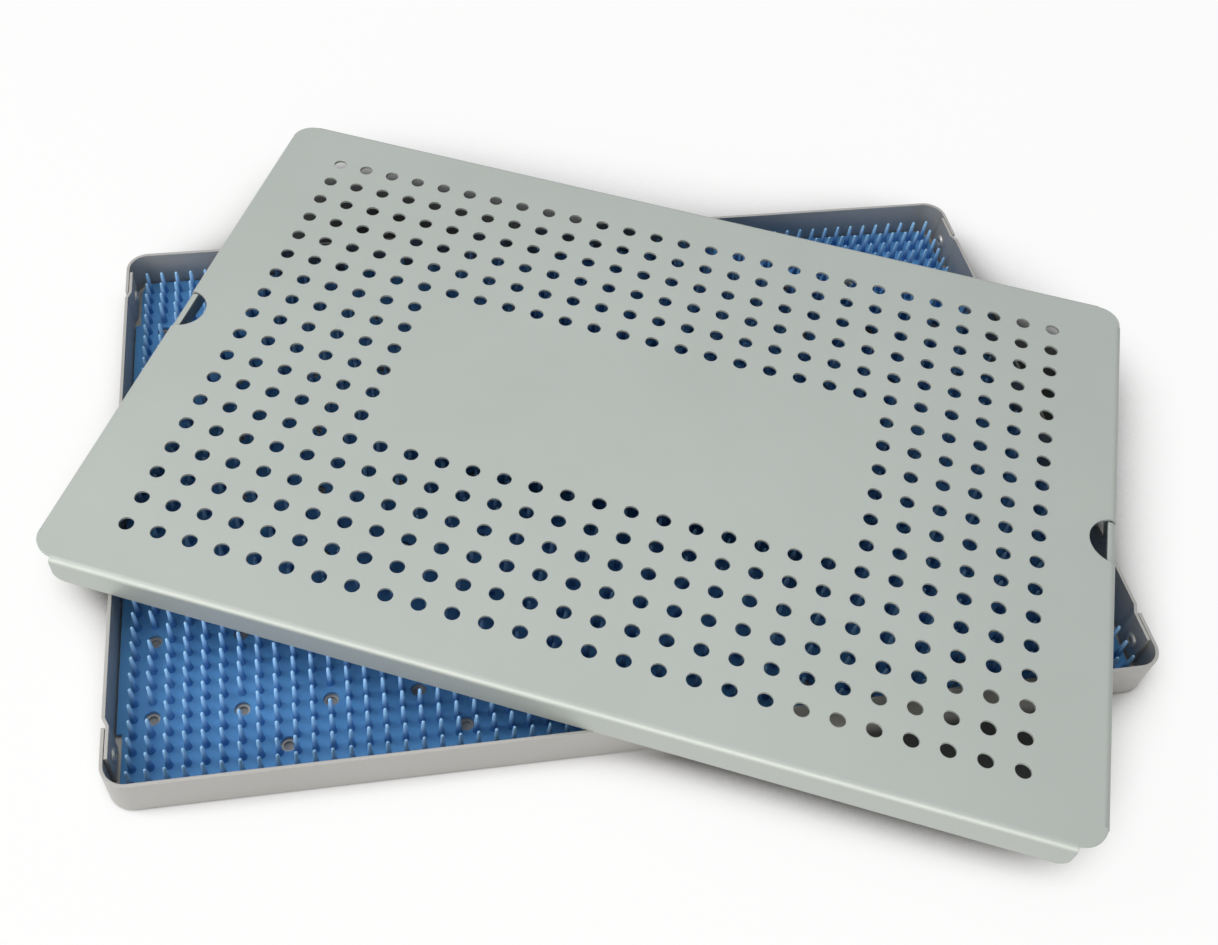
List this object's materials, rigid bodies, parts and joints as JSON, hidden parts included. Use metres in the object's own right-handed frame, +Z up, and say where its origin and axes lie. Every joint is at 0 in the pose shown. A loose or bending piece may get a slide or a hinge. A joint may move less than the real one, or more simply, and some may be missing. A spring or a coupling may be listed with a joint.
{
  "type": "instrument tray",
  "caption": "Shallow folded-sheet sterilising tray with a rubber finger mat and a perforated lift-off lid lying askew across its rims.",
  "frame": {"origin": "Middle of the tray's underside, on the surface it stands on.", "axes": "X runs along the tray's length, Y across it, Z up."},
  "size_m": [0.447, 0.3864, 0.0316],
  "materials": {
    "tray_sheet": "satin anodised",
    "rivet_metal": "satin",
    "mat_rubber": "matte silicone",
    "lid_sheet": "satin anodised"
  },
  "bodies": {
    "tray": {"tray": "tray_sheet", "corner_rivets": "rivet_metal"},
    "mat": {"finger_mat": "mat_rubber"},
    "lid": {"lid": "lid_sheet"}
  },
  "joints": [
    {"name": "mat_lift", "type": "slide", "parent": "tray", "child": "mat", "axis": [0, 0, 1], "range_m": [0, 0.04]},
    {"name": "lid_lift", "type": "slide", "parent": "mat", "child": "lid", "axis": [0, 0, 1], "range_m": [0, 0.06]}
  ]
}
